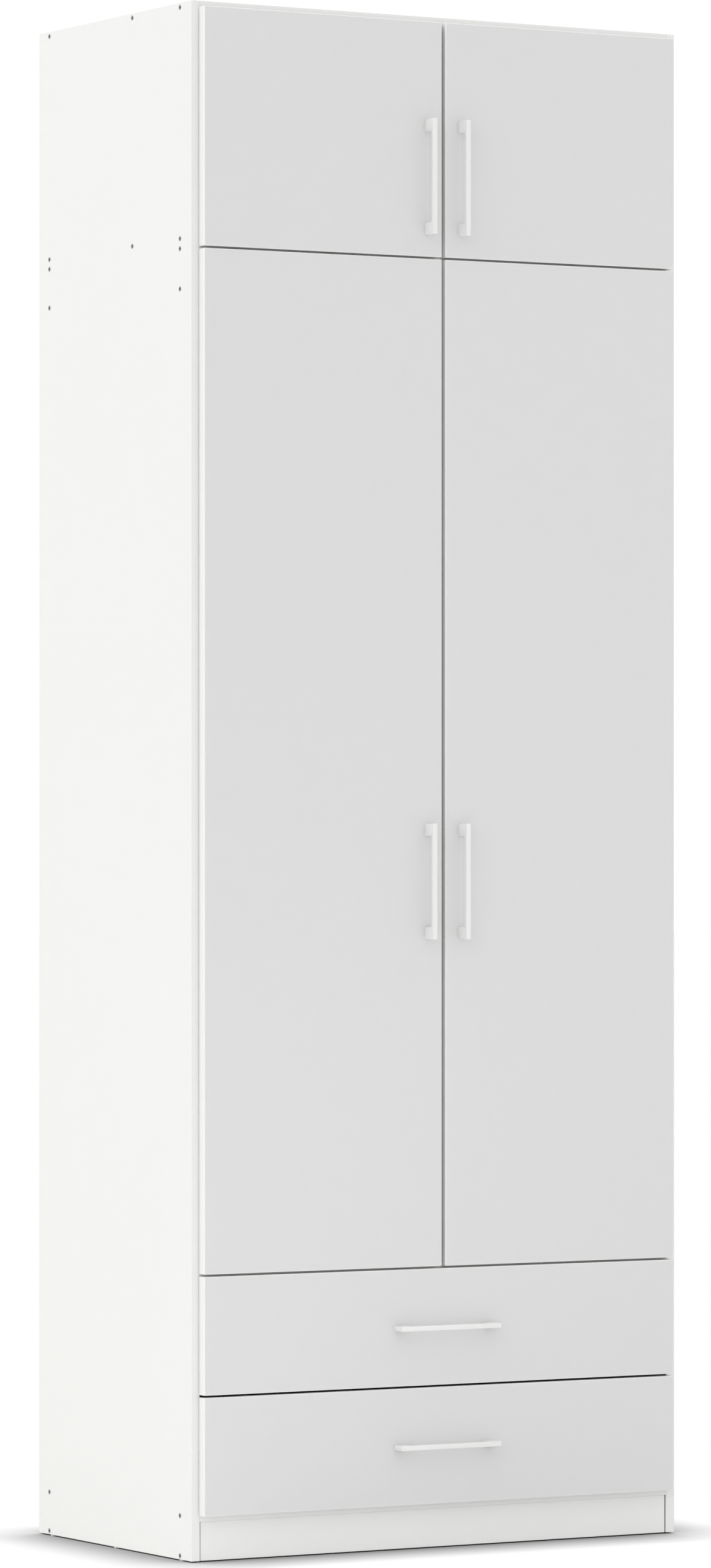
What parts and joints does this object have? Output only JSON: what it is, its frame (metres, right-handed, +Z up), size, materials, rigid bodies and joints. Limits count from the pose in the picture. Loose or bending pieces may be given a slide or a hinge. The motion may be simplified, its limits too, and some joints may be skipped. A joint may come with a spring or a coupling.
{
  "type": "wardrobe with doors",
  "caption": "Tall free-standing wardrobe with a top box over a hanging compartment, concealed-hinge doors, wide drawers below and a plinth.",
  "frame": {"origin": "centre of the footprint on the floor, handles included", "axes": "+X to the right seen from the front, +Y to the back, +Z up"},
  "size_m": [0.912, 0.5674, 2.48],
  "materials": {
    "white_board": "white melamine-faced chipboard, satin",
    "white_front": "white melamine-faced chipboard front with thin edge banding, satin",
    "back_board": "white lacquered thin fibreboard",
    "white_enamel": "white powder coat, satin",
    "white_plastic": "moulded white plastic",
    "zinc_steel": "zinc-plated pressed steel",
    "plated_tube": "bright plated steel tube"
  },
  "bodies": {
    "carcass": {"side_panel_left": "white_board", "side_panel_right": "white_board", "top_panel": "white_board", "top_box_floor": "white_board", "main_top_panel": "white_board", "drawer_top_panel": "white_board", "bottom_panel": "white_board", "upper_rail_front": "white_board", "upper_rail_rear": "white_board", "base_rails": "white_board", "plinth_board": "white_board", "back_sheet_left": "back_board", "back_sheet_right": "back_board", "back_joint_strip": "white_plastic", "hat_shelf": "white_board", "clothes_rail": "plated_tube", "rail_sockets": "zinc_steel", "shelf_fittings": "zinc_steel", "confirmat_screws": "zinc_steel", "fitting_screws": "zinc_steel", "floor_glides": "white_plastic", "wall_brackets": "zinc_steel", "hinge_arms": "zinc_steel", "runners_fixed": "zinc_steel"},
    "link_main_left": {"links_main_left": "zinc_steel"},
    "door_main_left": {"door_main_left": "white_front", "handle_main_left": "white_enamel", "cups_main_left": "zinc_steel", "door_screws_main_left": "zinc_steel"},
    "link_main_right": {"links_main_right": "zinc_steel"},
    "door_main_right": {"door_main_right": "white_front", "handle_main_right": "white_enamel", "cups_main_right": "zinc_steel", "door_screws_main_right": "zinc_steel"},
    "link_top_left": {"links_top_left": "zinc_steel"},
    "door_top_left": {"door_top_left": "white_front", "handle_top_left": "white_enamel", "cups_top_left": "zinc_steel", "door_screws_top_left": "zinc_steel"},
    "link_top_right": {"links_top_right": "zinc_steel"},
    "door_top_right": {"door_top_right": "white_front", "handle_top_right": "white_enamel", "cups_top_right": "zinc_steel", "door_screws_top_right": "zinc_steel"},
    "drawer_upper": {"drawer_front_upper": "white_front", "drawer_side_left_upper": "white_board", "drawer_side_right_upper": "white_board", "drawer_rear_upper": "white_board", "drawer_bottom_upper": "back_board", "drawer_runners_upper": "zinc_steel", "handle_drawer_upper": "white_enamel", "drawer_fixings_upper": "zinc_steel"},
    "drawer_lower": {"drawer_front_lower": "white_front", "drawer_side_left_lower": "white_board", "drawer_side_right_lower": "white_board", "drawer_rear_lower": "white_board", "drawer_bottom_lower": "back_board", "drawer_runners_lower": "zinc_steel", "handle_drawer_lower": "white_enamel", "drawer_fixings_lower": "zinc_steel"}
  },
  "joints": [
    {"name": "link_slide_main_left", "type": "slide", "parent": "carcass", "child": "link_main_left", "axis": [0, -1, 0], "range_m": [0, 0.0153]},
    {"name": "door_hinge_main_left", "type": "hinge", "parent": "link_main_left", "child": "door_main_left", "pos_m": [-0.4305, -0.24625, 1.272], "axis": [0, 0, -1], "range_deg": [0, 95]},
    {"name": "link_slide_main_right", "type": "slide", "parent": "carcass", "child": "link_main_right", "axis": [0, -1, 0], "range_m": [0, 0.0153]},
    {"name": "door_hinge_main_right", "type": "hinge", "parent": "link_main_right", "child": "door_main_right", "pos_m": [0.4305, -0.24625, 1.272], "axis": [0, 0, 1], "range_deg": [0, 95]},
    {"name": "link_slide_top_left", "type": "slide", "parent": "carcass", "child": "link_top_left", "axis": [0, -1, 0], "range_m": [0, 0.0153]},
    {"name": "door_hinge_top_left", "type": "hinge", "parent": "link_top_left", "child": "door_top_left", "pos_m": [-0.4305, -0.24625, 2.28], "axis": [0, 0, -1], "range_deg": [0, 95]},
    {"name": "link_slide_top_right", "type": "slide", "parent": "carcass", "child": "link_top_right", "axis": [0, -1, 0], "range_m": [0, 0.0153]},
    {"name": "door_hinge_top_right", "type": "hinge", "parent": "link_top_right", "child": "door_top_right", "pos_m": [0.4305, -0.24625, 2.28], "axis": [0, 0, 1], "range_deg": [0, 95]},
    {"name": "drawer_slide_upper", "type": "slide", "parent": "carcass", "child": "drawer_upper", "axis": [0, -1, 0], "range_m": [0, 0.34]},
    {"name": "drawer_slide_lower", "type": "slide", "parent": "carcass", "child": "drawer_lower", "axis": [0, -1, 0], "range_m": [0, 0.34]}
  ],
  "couplings": [
    {"joint": "link_slide_main_left", "follows": "door_hinge_main_left", "m_per_rad": 0.0092},
    {"joint": "link_slide_main_right", "follows": "door_hinge_main_right", "m_per_rad": 0.0092},
    {"joint": "link_slide_top_left", "follows": "door_hinge_top_left", "m_per_rad": 0.0092},
    {"joint": "link_slide_top_right", "follows": "door_hinge_top_right", "m_per_rad": 0.0092}
  ]
}
